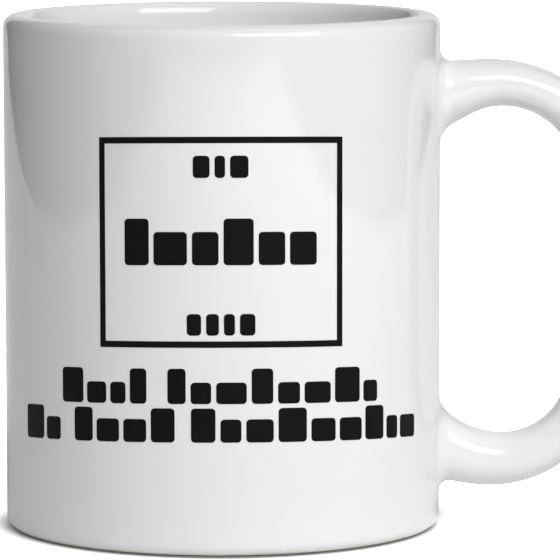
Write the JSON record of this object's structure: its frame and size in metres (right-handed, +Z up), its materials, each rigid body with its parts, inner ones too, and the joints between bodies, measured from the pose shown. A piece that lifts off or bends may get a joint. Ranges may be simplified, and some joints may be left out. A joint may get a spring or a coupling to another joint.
{
  "type": "ceramic mug",
  "caption": "Straight-sided glazed ceramic drinking mug with a rounded lip, a recessed foot ring and a C-shaped handle; it stands empty on its foot.",
  "frame": {"origin": "on the surface that the mug stands on, under the middle of the whole mug's box, handle included; the cup's own axis is 17.94 mm towards -X from it", "axes": "+Z up along the cup's axis, +X towards the handle, +Y across the handle, with the print on the -Y side"},
  "size_m": [0.1174, 0.0816, 0.0958],
  "materials": {
    "glaze": "white gloss glaze",
    "print": "black printed decal, satin"
  },
  "bodies": {
    "root": {"mug": "glaze"}
  },
  "joints": []
}
